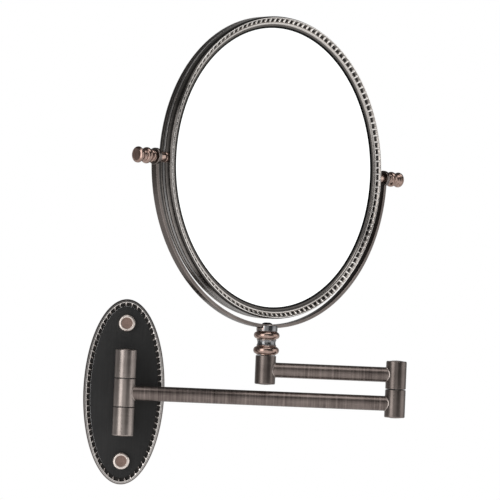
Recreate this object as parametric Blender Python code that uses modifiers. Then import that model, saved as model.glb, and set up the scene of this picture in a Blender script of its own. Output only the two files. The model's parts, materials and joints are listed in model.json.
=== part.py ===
"""Extendable wall shaving mirror: oval wall plate, folding double arm, turned stem, yoke and round mirror.

Frame: metres, +Z up. The wall is the plane y = 0 and the front is -Y. The origin is on the wall, at the
middle of the flat bracket that is screwed to it. The constants are in millimetres and degrees.
"""

import math

import bmesh
import bpy
from mathutils import Matrix, Vector

MM = 0.001
GAP = 0.3  # left between pieces that touch
BORE_GAP = 0.15  # radial room of a shaft in its hole
RUN_GAP = 0.15  # room beside a washer that a joint turns on

# Rest pose
ARM_ANGLE = -3.0  # lower arm, from +X
ELBOW_FOLD = 180.0  # upper arm, from the lower arm
MIRROR_YAW = 42.0  # tilt axis, from +X

# Arms and barrels
TUBE_R = 5.0
TUBE_WALL = 1.0
LOWER_ARM = 182.0  # between axes
UPPER_ARM = 88.0
WALL_BARREL_R = 7.2
ELBOW_R = 6.9
KNUCKLE_H = 18.7
JOINT_H = 0.6  # room for a friction washer between two knuckles
WASHER_H = 0.3
UPPER_Z = KNUCKLE_H + JOINT_H
SHOULDER_R = 0.8  # rounded end of a barrel
SPIGOT_R = 3.6
SPIGOT_L = 12.0
PIN_R = 3.0
PIN_HEAD_R = 4.4
PIN_HEAD_H = 2.0
RECESS_R = 4.9
NUT_R = 4.5
NUT_H = 2.6
PLUG_R = 4.6
PLUG_H = 2.0
PLUG_DOME = 0.5
HEAD_RECESS = 5.2
NUT_RECESS = 7.4
CLAMP_ROOM = 1.2  # disc spring between a nut and its seat
HINGE_END = UPPER_Z + KNUCKLE_H / 2 + 0.4  # both ends of the wall hinge

# Wall plate, bracket and posts
PLATE_A = 27.6  # half width
PLATE_B = 63.0  # half height
PLATE_RIM_Y = 8.0
PLATE_FIELD_Y = 6.5
PLATE_BACK_Y = 4.0
BRACKET_W = 18.0
BRACKET_L = 102.0
BRACKET_T = 2.0
STANDOFF = 25.0  # hinge axis from the wall
POST_R = 4.0
POST_FLANGE_R = 6.0
POST_FLANGE_H = 1.5
POST_SCREW_R = 1.6
STUD_Z = 46.7
STUD_R = 2.0
CAP_NUT_R = 5.65
CAP_NUT_H = 4.3

# Stem and socket
SOCKET_H = 19.2
SOCKET_TOP = UPPER_Z + 9.4
SOCKET_RECESS = 5.6
SPINDLE_END = SOCKET_TOP - 14.2
SPINDLE_R = 3.5
STEM_TOP = 49.1
STEM_HEAD_R = 7.1
STEM_BEAD_R = 8.7
STEM_NECK_R = 6.4
SMALL_SCREW_R = 1.5

# Yoke and pivots
PIVOT_Z = 155.3
YOKE_R = 105.6  # inner face, below the mirror
YOKE_SIDE = 108.8  # inner face, at the pivots
YOKE_T = 2.4
YOKE_W = 5.0
YOKE_TAB_R = 5.5
PIVOT_R = 2.0
BUSH_R = 3.5
KNOB_L = 15.2

# Mirror head: radii, and heights measured forward from the tilt axis
HEAD_R = 101.7
SKIRT_R = 100.8
DRUM_R = 100.5
DRUM_IN_R = 97.4
GLASS_R = 97.1
LIP_IN_R = 94.3
GROOVE_R = 96.2
CHANNEL_R = 98.2
CREST_R = 100.4
CREST = 6.5
EDGE_TOP = 5.0
FRONT_SEAT = 2.8
REAR_SEAT = 4.3
FRONT_SKIRT = 1.0
REAR_SKIRT = 2.4
GLASS_T = 1.6
REAR_SAG = 2.2

# Sides of the round pieces
BARREL_SIDES = 20
SMALL_SIDES = 12
HEAD_SIDES = 64
OVAL_SIDES = 48

BRONZE = ((0.075, 0.055, 0.048, 1.0), 0.36, 0.9)
COPPER = ((0.22, 0.13, 0.10, 1.0), 0.28, 0.95)
BLACK = ((0.018, 0.018, 0.018, 1.0), 0.42, 0.1)
STEEL = ((0.50, 0.50, 0.49, 1.0), 0.35, 1.0)
NYLON = ((0.03, 0.03, 0.03, 1.0), 0.6, 0.0)
FOAM = ((0.75, 0.75, 0.72, 1.0), 0.95, 0.0)
SILVER = ((0.90, 0.92, 0.91, 1.0), 0.02, 1.0)

for leftover in list(bpy.data.objects):
    bpy.data.objects.remove(leftover)

parts = bpy.data.collections.new("shaving_mirror")
cutters = bpy.data.collections.new("cutters")
bpy.context.scene.collection.children.link(parts)
bpy.context.scene.collection.children.link(cutters)


def material(name, look):
    """A Principled material with one colour, roughness and metallic value."""
    made = bpy.data.materials.new(name)
    made.use_nodes = True
    shader = made.node_tree.nodes["Principled BSDF"]
    colour, roughness, metallic = look
    shader.inputs["Base Color"].default_value = colour
    shader.inputs["Roughness"].default_value = roughness
    shader.inputs["Metallic"].default_value = metallic
    return made


def axis_empty(name, parent, location, turn):
    """An empty on a joint's axis, which carries the pieces of one moving group."""
    empty = bpy.data.objects.new(name, None)
    parts.objects.link(empty)
    empty.empty_display_size = 0.02
    place(empty, parent, location, (0, 0, turn))
    return empty


def place(obj, parent, location, rotation):
    obj.parent = parent
    obj.location = Vector(location) * MM
    obj.rotation_euler = [math.radians(angle) for angle in rotation]


def finish(name, mesh, look, parent, location=(0, 0, 0), rotation=(0, 0, 0)):
    """Makes the node: its object, its material and its place."""
    obj = bpy.data.objects.new(name, mesh)
    parts.objects.link(obj)
    mesh.materials.append(material(name, look))
    place(obj, parent, location, rotation)
    return obj


def helper(name, mesh, parent, location=(0, 0, 0), rotation=(0, 0, 0)):
    """A cutter, or a piece that is joined to another: seen as wires, and never rendered."""
    obj = bpy.data.objects.new(name, mesh)
    cutters.objects.link(obj)
    obj.hide_render = True
    obj.display_type = "WIRE"
    place(obj, parent, location, rotation)
    return obj


def boolean(obj, other, operation):
    change = obj.modifiers.new(operation.lower() + "_" + other.name, "BOOLEAN")
    change.operation = operation
    change.object = other
    change.solver = "EXACT"


def cylinder_mesh(name, radius, start, end, sides=SMALL_SIDES):
    """A cylinder along Z, from one height to the other."""
    mesh = bpy.data.meshes.new(name)
    shape = bmesh.new()
    middle = Matrix.Translation((0, 0, (start + end) / 2 * MM))
    bmesh.ops.create_cone(shape, cap_ends=True, segments=sides, radius1=radius * MM, radius2=radius * MM,
                          depth=abs(end - start) * MM, matrix=middle)
    shape.to_mesh(mesh)
    shape.free()
    mesh.shade_smooth()
    mesh.set_sharp_from_angle(angle=math.radians(40))
    return mesh


def box_mesh(name, size, centre):
    mesh = bpy.data.meshes.new(name)
    shape = bmesh.new()
    bmesh.ops.create_cube(shape, size=1.0)
    bmesh.ops.scale(shape, vec=Vector(size) * MM, verts=shape.verts)
    bmesh.ops.translate(shape, vec=Vector(centre) * MM, verts=shape.verts)
    shape.to_mesh(mesh)
    shape.free()
    return mesh


def outline_mesh(name, outline):
    """The profile of a turned piece, as (radius, height) points; one that stays off the axis is closed."""
    mesh = bpy.data.meshes.new(name)
    edges = [(i, i + 1) for i in range(len(outline) - 1)]
    if outline[0][0] > 0:
        edges.append((len(outline) - 1, 0))
    mesh.from_pydata([(radius * MM, 0, height * MM) for radius, height in outline], edges, [])
    return mesh


def spin(obj, sides):
    screw = obj.modifiers.new("turned", "SCREW")
    screw.steps = sides
    screw.render_steps = sides
    screw.use_merge_vertices = True
    screw.merge_threshold = 0.00001
    screw.use_smooth_shade = True


def turned(name, outline, look, parent, location=(0, 0, 0), rotation=(0, 0, 0), sides=BARREL_SIDES):
    """A solid of revolution about its own Z. The outline runs down its outer side, from top to bottom."""
    obj = finish(name, outline_mesh(name, outline), look, parent, location, rotation)
    spin(obj, sides)
    return obj


def ring(name, outer, inner, top, bottom, look, parent, location=(0, 0, 0), rotation=(0, 0, 0), sides=SMALL_SIDES):
    """A plain washer, bush or sleeve about its own Z."""
    outline = [(outer, top), (outer, bottom), (inner, bottom), (inner, top)]
    return turned(name, outline, look, parent, location, rotation, sides)


def arc(centre, radius, start, end, steps):
    """Points of a round stretch of an outline, from one angle to the other."""
    points = []
    for i in range(steps + 1):
        angle = math.radians(start + (end - start) * i / steps)
        points.append((centre[0] + radius * math.cos(angle), centre[1] + radius * math.sin(angle)))
    return points


def barrel(name, radius, top, bottom, parent, location=(0, 0, 0), round_ends=(True, True)):
    """A solid barrel. An end that another knuckle doesn't meet is rounded."""
    outline = [(0, top)]
    if round_ends[0]:
        outline += arc((radius - SHOULDER_R, top - SHOULDER_R), SHOULDER_R, 90, 0, 2)
    else:
        outline.append((radius, top))
    if round_ends[1]:
        outline += arc((radius - SHOULDER_R, bottom + SHOULDER_R), SHOULDER_R, 0, -90, 2)
    else:
        outline.append((radius, bottom))
    outline.append((0, bottom))
    return turned(name, outline, BRONZE, parent, location)


def bore_out(piece, radius, top, bottom, parent, location=(0, 0, 0), recess_top=None, recess_bottom=None):
    """Cuts a barrel's bore, with a wider recess down from its top or up from its bottom."""
    outline = [(0, top + 1)]
    if recess_top is None:
        outline.append((radius, top + 1))
    else:
        outline += [(RECESS_R, top + 1), (RECESS_R, recess_top), (radius, recess_top)]
    if recess_bottom is None:
        outline.append((radius, bottom - 1))
    else:
        outline += [(radius, recess_bottom), (RECESS_R, recess_bottom), (RECESS_R, bottom - 1)]
    outline.append((0, bottom - 1))
    mesh = outline_mesh(piece.name + "_bore", outline)
    tool = helper(mesh.name, mesh, parent, location)
    spin(tool, BARREL_SIDES)
    boolean(piece, tool, "DIFFERENCE")


def plug(name, parent, location, end, direction, look):
    """A domed plug that closes the recess of a barrel's end. The direction is +1 for a top end."""
    face = [(0, PLUG_DOME)] + [(PLUG_R * s, PLUG_DOME * (1 - s * s)) for s in (0.5, 0.85, 1.0)]
    outline = face + [(PLUG_R, -PLUG_H), (0, -PLUG_H)]
    turn = (0, 0, 0) if direction > 0 else (180, 0, 0)
    height = (location[0], location[1], end)
    return turned(name, outline, look, parent, height, turn, SMALL_SIDES)


def clamp_set(prefix, parent, location, head_z, nut_z):
    """The bolt of a hinge, with the disc spring and nut that clamp it so that the arm stays where it is put."""
    end = nut_z - NUT_H - 0.5
    bolt = [(0, head_z + PIN_HEAD_H), (PIN_HEAD_R, head_z + PIN_HEAD_H), (PIN_HEAD_R, head_z), (PIN_R, head_z),
            (PIN_R, end), (0, end)]
    turned(prefix + "_pin", bolt, STEEL, parent, location, sides=BARREL_SIDES)
    spring_z = nut_z + GAP
    spring = [(PIN_R + GAP, spring_z + 0.6), (NUT_R, spring_z + 0.4), (NUT_R, spring_z), (PIN_R + GAP, spring_z + 0.2)]
    turned(prefix + "_spring_washer", spring, STEEL, parent, location, sides=SMALL_SIDES)
    mesh = cylinder_mesh(prefix + "_nut", NUT_R, nut_z - NUT_H, nut_z, 6)
    nut = finish(mesh.name, mesh, STEEL, parent, location)
    hole = cylinder_mesh(nut.name + "_hole", PIN_R + BORE_GAP, nut_z - NUT_H - 1, nut_z + 1, BARREL_SIDES)
    boolean(nut, helper(hole.name, hole, parent, location), "DIFFERENCE")


def spigot(knuckle, parent, x, radius, direction, height):
    """Joins to a knuckle the plug that an arm's tube is brazed on."""
    mesh = cylinder_mesh(knuckle.name + "_spigot", SPIGOT_R, radius - 2.0, radius + SPIGOT_L)
    turn = 90 if direction > 0 else -90
    boolean(knuckle, helper(mesh.name, mesh, parent, (x, 0, height), (0, turn, 0)), "UNION")


def arm_tube(name, parent, length, near_r, far_r, height):
    """An arm's tube, its two ends cut to the round of the barrels that it meets."""
    inner = TUBE_R - TUBE_WALL
    outline = [(TUBE_R, length), (TUBE_R, 0), (inner, 0), (inner, length)]
    tube = turned(name, outline, BRONZE, parent, (0, 0, height), (0, 90, 0), BARREL_SIDES)
    for end, x, radius in (("near", 0.0, near_r), ("far", length, far_r)):
        mesh = cylinder_mesh(name + "_cope_" + end, radius + GAP, -12, 12, BARREL_SIDES)
        boolean(tube, helper(mesh.name, mesh, parent, (x, 0, height)), "DIFFERENCE")
    return tube


def oval_loop(shape, inset, y):
    """One closed row of points of the wall plate, a distance in from its outline."""
    row = []
    for i in range(OVAL_SIDES):
        angle = 2 * math.pi * i / OVAL_SIDES
        x = (PLATE_A - inset) * math.cos(angle)
        z = (PLATE_B - inset) * math.sin(angle)
        row.append(shape.verts.new((x * MM, -y * MM, z * MM)))
    return row


def wall_plate():
    """The hollow oval cover: a stepped, raised rim around a sunk flat field."""
    mesh = bpy.data.meshes.new("wall_plate")
    shape = bmesh.new()
    front = [(0, GAP), (0, 2.4), (0.9, 4.2), (1.7, 7.3), (2.5, PLATE_RIM_Y), (3.3, 7.6), (3.9, PLATE_FIELD_Y)]
    back = [(5.6, PLATE_BACK_Y), (2.2, PLATE_BACK_Y - 1.6), (1.8, GAP)]
    rows = [oval_loop(shape, inset, y) for inset, y in front]
    shape.faces.new(rows[-1])
    inside = [oval_loop(shape, inset, y) for inset, y in back]
    shape.faces.new(inside[0])
    for row_a, row_b in list(zip(rows, rows[1:])) + list(zip(inside, inside[1:])) + [(inside[-1], rows[0])]:
        for i in range(OVAL_SIDES):
            j = (i + 1) % OVAL_SIDES
            shape.faces.new((row_a[i], row_a[j], row_b[j], row_b[i]))
    bmesh.ops.recalc_face_normals(shape, faces=shape.faces)
    shape.to_mesh(mesh)
    shape.free()
    mesh.shade_smooth()
    mesh.set_sharp_from_angle(angle=math.radians(35))
    plate = finish("wall_plate", mesh, BLACK, None)
    for z in (STUD_Z, -STUD_Z):
        hole_through_wall_piece(plate, z, STUD_R + GAP)
    for z in (UPPER_Z, -UPPER_Z):
        hole_through_wall_piece(plate, z, POST_SCREW_R + GAP)


def hole_through_wall_piece(piece, z, radius):
    mesh = cylinder_mesh("%s_hole_%d" % (piece.name, round(z)), radius, -5, 15)
    boolean(piece, helper(mesh.name, mesh, None, (0, 0, z), (90, 0, 0)), "DIFFERENCE")


def wall_bracket():
    """The flat steel strap that is screwed to the wall, with two upright slots for the wall screws."""
    mesh = box_mesh("wall_bracket", (BRACKET_W, BRACKET_T, BRACKET_L), (0, -BRACKET_T / 2, 0))
    bracket = finish("wall_bracket", mesh, STEEL, None)
    corners = bracket.modifiers.new("corners", "BEVEL")
    corners.width = 4.0 * MM
    corners.segments = 3
    corners.limit_method = "WEIGHT"
    weight = mesh.attributes.new("bevel_weight_edge", "FLOAT", "EDGE")
    for edge in mesh.edges:
        ends = [mesh.vertices[i].co for i in edge.vertices]
        weight.data[edge.index].value = 1.0 if abs(ends[0].y - ends[1].y) > MM else 0.0
    for z in (STUD_Z, -STUD_Z):
        hole_through_wall_piece(bracket, z, STUD_R + BORE_GAP)
    for z in (30.0, -30.0):
        slot = box_mesh("bracket_slot_%d" % z, (5.6, 8.0, 10.0), (0, 0, z))
        boolean(bracket, helper(slot.name, slot, None), "DIFFERENCE")


def plate_fasteners():
    """Two studs that stand out of the bracket, and the flat-faced cap nuts that hold the cover plate on them."""
    nut_back = PLATE_FIELD_Y + GAP
    for place_name, z in (("upper", STUD_Z), ("lower", -STUD_Z)):
        end = nut_back + 3.0
        stud = cylinder_mesh("plate_stud_" + place_name, STUD_R, GAP, end, 12)
        finish(stud.name, stud, STEEL, None, (0, 0, z), (90, 0, 0))
        outline = [(0, CAP_NUT_H), (CAP_NUT_R - 1.0, CAP_NUT_H), (CAP_NUT_R, CAP_NUT_H - 1.1), (CAP_NUT_R, 0),
                   (STUD_R + BORE_GAP, 0), (STUD_R + BORE_GAP, 3.3), (0, 3.3)]
        turned("cap_nut_" + place_name, outline, COPPER, None, (0, -nut_back, z), (90, 0, 0), 20)


def fixed_knuckle(side, direction):
    """An end knuckle of the wall hinge, with the post that carries it on the plate, and the post's screw."""
    name = "hinge_knuckle_" + side
    near = UPPER_Z - KNUCKLE_H / 2
    axis = (0, -STANDOFF, 0)
    z = direction * UPPER_Z
    if direction > 0:
        top, bottom = HINGE_END, near
    else:
        top, bottom = -near, -HINGE_END
    knuckle = barrel(name, WALL_BARREL_R, top, bottom, None, axis, (direction > 0, direction < 0))
    reach = STANDOFF - PLATE_FIELD_Y - GAP
    flange = reach - POST_FLANGE_H
    start = 4.0
    post = [(0, reach), (POST_FLANGE_R, reach), (POST_FLANGE_R, flange), (POST_R, flange - 1.2), (POST_R, start),
            (0, start)]
    mesh = outline_mesh(name + "_post", post)
    joined = helper(mesh.name, mesh, None, (0, -STANDOFF, z), (-90, 0, 0))
    spin(joined, SMALL_SIDES)
    boolean(knuckle, joined, "UNION")
    if direction > 0:
        bore_out(knuckle, PIN_R + BORE_GAP, top, bottom, None, axis, recess_top=top - HEAD_RECESS)
    else:
        bore_out(knuckle, PIN_R + BORE_GAP, top, bottom, None, axis, recess_bottom=bottom + NUT_RECESS)
    drill = cylinder_mesh(name + "_thread", POST_SCREW_R + BORE_GAP, STANDOFF - 16.0, STANDOFF - 4.0)
    boolean(knuckle, helper(drill.name, drill, None, (0, -STANDOFF, z), (-90, 0, 0)), "DIFFERENCE")
    head_y = PLATE_BACK_Y - GAP
    screw = [(0, 15.5), (POST_SCREW_R, 15.5), (POST_SCREW_R, head_y), (3.0, head_y), (3.0, head_y - 1.4),
             (0, head_y - 1.4)]
    turned("post_screw_" + side, screw, STEEL, None, (0, 0, z), (90, 0, 0), SMALL_SIDES)


def wall_hinge():
    fixed_knuckle("upper", 1)
    fixed_knuckle("lower", -1)
    axis = (0, -STANDOFF, 0)
    clamp_set("hinge", None, axis, HINGE_END - HEAD_RECESS + GAP, NUT_RECESS - HINGE_END - CLAMP_ROOM)
    plug("hinge_plug_upper", None, axis, HINGE_END, 1, BRONZE)
    plug("hinge_plug_lower", None, axis, -HINGE_END, -1, BRONZE)
    for side, z in (("upper", KNUCKLE_H / 2 + RUN_GAP), ("lower", -KNUCKLE_H / 2 - RUN_GAP - WASHER_H)):
        ring("hinge_washer_" + side, WALL_BARREL_R - 0.6, PIN_R + GAP, z + WASHER_H, z, NYLON, None, axis)


def lower_arm(parent):
    """The long arm: the middle knuckle of the wall hinge, the tube and the lower knuckle of the elbow."""
    half = KNUCKLE_H / 2
    bore = PIN_R + BORE_GAP
    knuckle = barrel("arm_knuckle", WALL_BARREL_R, half, -half, parent, round_ends=(False, False))
    spigot(knuckle, parent, 0, WALL_BARREL_R, 1, 0)
    bore_out(knuckle, bore, half, -half, parent)
    arm_tube("lower_arm_tube", parent, LOWER_ARM, WALL_BARREL_R, ELBOW_R, 0)
    end = (LOWER_ARM, 0, 0)
    elbow = barrel("elbow_knuckle_lower", ELBOW_R, half, -half, parent, end, (False, True))
    spigot(elbow, parent, LOWER_ARM, ELBOW_R, -1, 0)
    bore_out(elbow, bore, half, -half, parent, end, recess_bottom=NUT_RECESS - half)
    top = UPPER_Z + half
    clamp_set("elbow", parent, end, top - HEAD_RECESS + GAP, NUT_RECESS - half - CLAMP_ROOM)
    washer = half + RUN_GAP
    ring("elbow_washer", ELBOW_R - 0.6, PIN_R + GAP, washer + WASHER_H, washer, NYLON, parent, end)
    plug("elbow_plug_lower", parent, end, -half, -1, BRONZE)


def upper_arm(parent):
    """The short arm: the upper knuckle of the elbow, the tube and the socket that the stem turns in."""
    top = UPPER_Z + KNUCKLE_H / 2
    bottom = UPPER_Z - KNUCKLE_H / 2
    knuckle = barrel("elbow_knuckle_upper", ELBOW_R, top, bottom, parent, round_ends=(True, False))
    spigot(knuckle, parent, 0, ELBOW_R, 1, UPPER_Z)
    bore_out(knuckle, PIN_R + BORE_GAP, top, bottom, parent, recess_top=top - HEAD_RECESS)
    plug("elbow_plug_upper", parent, (0, 0), top, 1, BRONZE)
    arm_tube("upper_arm_tube", parent, UPPER_ARM, ELBOW_R, ELBOW_R, UPPER_Z)
    end = (UPPER_ARM, 0, 0)
    low = SOCKET_TOP - SOCKET_H
    socket = barrel("stem_socket", ELBOW_R, SOCKET_TOP, low, parent, end, (False, True))
    spigot(socket, parent, UPPER_ARM, ELBOW_R, -1, UPPER_Z)
    bore_out(socket, SPINDLE_R + BORE_GAP, SOCKET_TOP, low, parent, end, recess_bottom=low + SOCKET_RECESS)
    plug("socket_plug", parent, end, low, -1, BRONZE)


def stem_outline():
    """The turned stem: a spindle, two beads with a neck between them, and a plain head."""
    foot = SOCKET_TOP + JOINT_H
    low_bead = (foot + 3.0, 2.9)
    high_bead = (low_bead[0] + 10.1, 2.6)
    outline = [(0, STEM_TOP), (STEM_HEAD_R - 0.3, STEM_TOP), (STEM_HEAD_R, STEM_TOP - 0.3),
               (STEM_HEAD_R, STEM_TOP - 4.3), (STEM_HEAD_R - 0.6, STEM_TOP - 4.6)]
    for (centre, half), steps in ((high_bead, 4), (low_bead, 4)):
        for i in range(steps + 1):
            angle = math.pi * (0.5 - i / steps)
            rise = STEM_BEAD_R - STEM_NECK_R - 0.1
            outline.append((STEM_NECK_R + 0.1 + rise * math.cos(angle), centre + half * math.sin(angle)))
        if centre == high_bead[0]:
            outline.append((STEM_NECK_R - 0.3, (high_bead[0] + low_bead[0]) / 2))
    outline += [(ELBOW_R - 0.3, foot), (SPINDLE_R, foot), (SPINDLE_R, SPINDLE_END), (0, SPINDLE_END)]
    return outline


def stem_and_yoke(parent):
    """What turns in the upper arm's socket: the stem, its retaining parts, the yoke and its bushes."""
    stem = turned("stem", stem_outline(), COPPER, parent, sides=20)
    yoke_bottom = PIVOT_Z - YOKE_R - YOKE_T
    slot = box_mesh("stem_slot", (20, YOKE_W + 2 * GAP, 10), (0, 0, yoke_bottom - GAP + 5))
    boolean(stem, helper(slot.name, slot, parent), "DIFFERENCE")
    for end, low, high in (("top", yoke_bottom - 8.0, yoke_bottom + 2), ("foot", SPINDLE_END - 2, SPINDLE_END + 8)):
        drill = cylinder_mesh("stem_thread_" + end, SMALL_SCREW_R + BORE_GAP, low, high, 12)
        boolean(stem, helper(drill.name, drill, parent), "DIFFERENCE")
    low = SOCKET_TOP + RUN_GAP
    ring("stem_washer", ELBOW_R - 0.5, SPINDLE_R + GAP, low + WASHER_H, low, NYLON, parent)
    foot = SPINDLE_END - GAP
    ring("stem_retainer", RECESS_R - GAP, SMALL_SCREW_R + GAP, foot, foot - 0.8, STEEL, parent)
    head = foot - 0.8 - GAP
    screw = [(0, head + 6), (SMALL_SCREW_R, head + 6), (SMALL_SCREW_R, head), (3.0, head), (2.6, head - 1.1),
             (0, head - 1.1)]
    turned("stem_screw", screw, STEEL, parent, sides=12)
    yoke(parent)
    seat = PIVOT_Z - YOKE_R + GAP
    screw = [(0, seat + 1.2), (2.2, seat + 1.2), (3.5, seat + 0.5), (3.5, seat), (SMALL_SCREW_R, seat),
             (SMALL_SCREW_R, seat - 9.5), (0, seat - 9.5)]
    turned("yoke_screw", screw, BLACK, parent, sides=SMALL_SIDES)
    for side, turn in (("left", -90), ("right", 90)):
        ring("pivot_bush_" + side, BUSH_R, PIVOT_R + GAP, YOKE_SIDE - 0.1 - GAP, DRUM_R + GAP, COPPER, parent,
             (0, 0, PIVOT_Z), (0, turn, 0))


def half_oval(half_width, depth):
    """The lower half of an oval about the tilt axis, from left to right."""
    return [(half_width / depth * x, z) for x, z in arc((0, 0), depth, -180, 0, 40)]


def yoke(parent):
    """The flat bar bent to a half oval, a little wider than deep, with a round tab at each end for a pivot screw."""
    outer = half_oval(YOKE_SIDE + YOKE_T, YOKE_R + YOKE_T)
    inner = half_oval(YOKE_SIDE, YOKE_R)[::-1]
    guide = bpy.data.curves.new("yoke_outline", "CURVE")
    guide.dimensions = "2D"
    guide.fill_mode = "BOTH"
    guide.extrude = YOKE_W / 2 * MM
    spline = guide.splines.new("POLY")
    spline.points.add(len(outer) + len(inner) - 1)
    for point, (x, z) in zip(spline.points, outer + inner):
        point.co = (x * MM, z * MM, 0, 1)
    spline.use_cyclic_u = True
    flat = bpy.data.objects.new("yoke_outline", guide)
    cutters.objects.link(flat)
    bpy.context.view_layer.update()
    graph = bpy.context.evaluated_depsgraph_get()
    mesh = bpy.data.meshes.new_from_object(flat.evaluated_get(graph))
    bpy.data.objects.remove(flat)
    shape = bmesh.new()
    shape.from_mesh(mesh)
    bmesh.ops.remove_doubles(shape, verts=shape.verts, dist=0.00001)
    bmesh.ops.recalc_face_normals(shape, faces=shape.faces)
    shape.to_mesh(mesh)
    shape.free()
    mesh.name = "yoke"
    bar = finish("yoke", mesh, BRONZE, parent, (0, 0, PIVOT_Z), (90, 0, 0))
    for side, turn in (("left", -90), ("right", 90)):
        tab = cylinder_mesh("yoke_tab_" + side, YOKE_TAB_R, YOKE_SIDE - 0.1, YOKE_SIDE + YOKE_T + 0.1)
        boolean(bar, helper(tab.name, tab, parent, (0, 0, PIVOT_Z), (0, turn, 0)), "UNION")
    for side, turn in (("left", -90), ("right", 90)):
        hole = cylinder_mesh("yoke_hole_" + side, PIVOT_R + GAP, YOKE_SIDE - 5, YOKE_SIDE + 8)
        boolean(bar, helper(hole.name, hole, parent, (0, 0, PIVOT_Z), (0, turn, 0)), "DIFFERENCE")
    drill = cylinder_mesh("yoke_screw_hole", SMALL_SCREW_R + GAP, PIVOT_Z - YOKE_R - 8, PIVOT_Z - YOKE_R + 5, 12)
    boolean(bar, helper(drill.name, drill, parent), "DIFFERENCE")


def ring_outline(seat, skirt):
    """A mirror ring's section: outer wall, crest, slanting bead channel, rounded moulding and lip over the glass."""
    dome = max(EDGE_TOP, seat + 1.2)
    return [(CREST_R, CREST), (HEAD_R, EDGE_TOP), (HEAD_R, skirt), (SKIRT_R, skirt), (SKIRT_R, seat),
            (LIP_IN_R, seat), (LIP_IN_R + 0.2, seat + 0.5), (GROOVE_R - 0.3, seat + 0.4), (GROOVE_R + 0.9, dome),
            (CHANNEL_R - 0.2, dome - 0.2), (CHANNEL_R + 0.2, dome - 0.5), (CREST_R - 0.5, CREST - 0.4)]


def mirror_head(parent):
    """The two-sided mirror: beaded rings on a drum, a plain glass in front and a hollowed one behind."""
    front = (90, 0, 0)
    back = (-90, 0, 0)
    rings = (turned("front_ring", ring_outline(FRONT_SEAT, FRONT_SKIRT), BRONZE, parent, (0, 0, 0), front, HEAD_SIDES),
             turned("rear_ring", ring_outline(REAR_SEAT, REAR_SKIRT), BRONZE, parent, (0, 0, 0), back, HEAD_SIDES))
    drum = ring("mirror_drum", DRUM_R, DRUM_IN_R, FRONT_SEAT - GAP, GAP - REAR_SEAT, BRONZE, parent, (0, 0, 0), front,
                HEAD_SIDES)
    for side, turn in (("left", -90), ("right", 90)):
        notch = cylinder_mesh("ring_notch_" + side, BUSH_R + GAP, DRUM_R + 0.1, HEAD_R + 3)
        notch_tool = helper(notch.name, notch, parent, (0, 0, 0), (0, turn, 0))
        for piece in rings:
            boolean(piece, notch_tool, "DIFFERENCE")
        thread = cylinder_mesh("drum_thread_" + side, PIVOT_R + BORE_GAP, DRUM_IN_R - 3, DRUM_R + 3)
        boolean(drum, helper(thread.name, thread, parent, (0, 0, 0), (0, turn, 0)), "DIFFERENCE")
    top = FRONT_SEAT - GAP
    glass = [(0, top), (GLASS_R - 0.4, top), (GLASS_R, top - 0.4), (GLASS_R, top - GLASS_T), (0, top - GLASS_T)]
    turned("front_glass", glass, SILVER, parent, (0, 0, 0), front, HEAD_SIDES)
    rim = REAR_SEAT - GAP
    hollow = [(GLASS_R * i / 4, rim - REAR_SAG * (1 - (i / 4) ** 2)) for i in range(5)]
    under = [(radius, height - GLASS_T) for radius, height in reversed(hollow)]
    turned("magnifying_glass", hollow + under, SILVER, parent, (0, 0, 0), back, HEAD_SIDES)
    pad_back = REAR_SAG + GLASS_T - rim + GAP
    pad = [(0, pad_back + 0.5), (GLASS_R - 1, pad_back + 0.5), (GLASS_R - 1, pad_back), (0, pad_back)]
    turned("backing_pad", pad, FOAM, parent, (0, 0, 0), front, 32)
    ring("glass_spacer_ring", GLASS_R, GLASS_R - 4, pad_back - GAP, GLASS_T - rim + 0.6, NYLON, parent,
         (0, 0, 0), front, 32)
    for side, turn in (("left", -90), ("right", 90)):
        screw = cylinder_mesh("pivot_screw_" + side, PIVOT_R, DRUM_IN_R + GAP, YOKE_SIDE + YOKE_T + 9.0, 12)
        finish(screw.name, screw, STEEL, parent, (0, 0, 0), (0, turn, 0))


def knob_outline():
    """A turned finial from its flat outer disc to the collar against the yoke."""
    bore = PIVOT_R + BORE_GAP
    disc = [(0, KNOB_L), (4.7, KNOB_L), (5.3, KNOB_L - 0.7), (5.3, KNOB_L - 1.8), (4.9, KNOB_L - 2.6),
            (4.0, KNOB_L - 3.6)]
    neck = [(2.9, KNOB_L - 5.0), (2.9, KNOB_L - 6.3)]
    beads = [(4.0, 8.6), (5.0, 7.4), (5.2, 6.3), (4.7, 5.1), (3.9, 4.4), (4.2, 3.4), (3.9, 2.3), (3.4, 1.7),
             (3.6, 0.0)]
    return disc + neck + beads + [(bore, 0.0), (bore, 9.3), (0, 9.3)]


def knob(side, parent):
    turn = -90 if side == "left" else 90
    axle = axis_empty("knob_axis_" + side, parent, (0, 0, 0), 0)
    outside = YOKE_SIDE + YOKE_T + 0.1 + GAP
    outline = [(radius, height + outside) for radius, height in knob_outline()]
    turned("knob_" + side, outline, COPPER, axle, (0, 0, 0), (0, turn, 0), 16)


def build():
    wall_bracket()
    wall_plate()
    plate_fasteners()
    wall_hinge()
    wall_axis = axis_empty("wall_axis", None, (0, -STANDOFF, 0), ARM_ANGLE)
    lower_arm(wall_axis)
    elbow_axis = axis_empty("elbow_axis", wall_axis, (LOWER_ARM, 0, 0), ELBOW_FOLD)
    upper_arm(elbow_axis)
    stem_turn = MIRROR_YAW - ARM_ANGLE - ELBOW_FOLD
    stem_axis = axis_empty("stem_axis", elbow_axis, (UPPER_ARM, 0, 0), stem_turn)
    stem_and_yoke(stem_axis)
    tilt_axis = axis_empty("tilt_axis", stem_axis, (0, 0, PIVOT_Z), 0)
    mirror_head(tilt_axis)
    knob("left", tilt_axis)
    knob("right", tilt_axis)
    bpy.context.view_layer.update()


build()
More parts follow.
